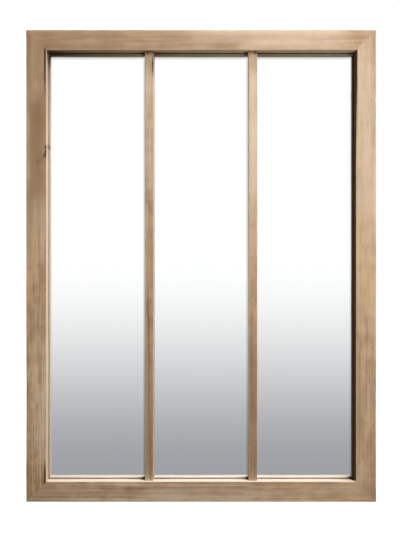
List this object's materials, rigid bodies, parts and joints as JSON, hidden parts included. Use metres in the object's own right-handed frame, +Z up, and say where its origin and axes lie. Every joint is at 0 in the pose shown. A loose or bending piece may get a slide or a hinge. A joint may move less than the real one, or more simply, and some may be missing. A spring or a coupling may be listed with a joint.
{
  "type": "window mirror",
  "caption": "Tall rectangular wall mirror in a mitred wooden frame, with slim upright glazing bars before the glass like a window, and ring hangers on the back.",
  "frame": {"origin": "middle of the flat back, on the back faces of the frame and of the back panel", "axes": "+Z up, +X to the right as seen from the front, +Y towards the wall; the mirror faces -Y"},
  "size_m": [0.89, 0.0405, 1.2],
  "materials": {
    "frame_wood": "weathered light brown softwood, matt",
    "mirror": "silvered glass",
    "bedding_tape": "black foam tape",
    "setting_block": "matt",
    "cushion": "white foam sheet",
    "hardboard": "brown hardboard",
    "beech": "pressed beech",
    "zinc_steel": "zinc plated",
    "bumper": "matt black"
  },
  "bodies": {
    "mirror_frame": {"top_rail": "frame_wood", "bottom_rail": "frame_wood", "left_stile": "frame_wood", "right_stile": "frame_wood", "mullion_left": "frame_wood", "mullion_right": "frame_wood", "mirror_glass": "mirror", "bedding_tape_top": "bedding_tape", "bedding_tape_bottom": "bedding_tape", "bedding_tape_left": "bedding_tape", "bedding_tape_right": "bedding_tape", "mullion_tape_left": "bedding_tape", "mullion_tape_right": "bedding_tape", "setting_block_left": "setting_block", "setting_block_right": "setting_block", "cushion_sheet": "cushion", "back_panel": "hardboard", "mitre_biscuits": "beech", "back_panel_screws": "zinc_steel", "corner_angle_nails": "zinc_steel", "hanger_strap_left": "zinc_steel", "hanger_strap_right": "zinc_steel", "hanger_screws": "zinc_steel", "bumper_bottom_left": "bumper", "bumper_bottom_right": "bumper", "bumper_top_left": "bumper", "bumper_top_right": "bumper"},
    "left_ring": {"hanger_ring_left": "zinc_steel"},
    "right_ring": {"hanger_ring_right": "zinc_steel"}
  },
  "joints": [
    {"name": "left_ring_swing", "type": "hinge", "parent": "mirror_frame", "child": "left_ring", "pos_m": [-0.431, 0.00285, 0.4], "axis": [1, 0, 0], "range_deg": [0, 180]},
    {"name": "right_ring_swing", "type": "hinge", "parent": "mirror_frame", "child": "right_ring", "pos_m": [0.431, 0.00285, 0.4], "axis": [1, 0, 0], "range_deg": [0, 180]}
  ]
}
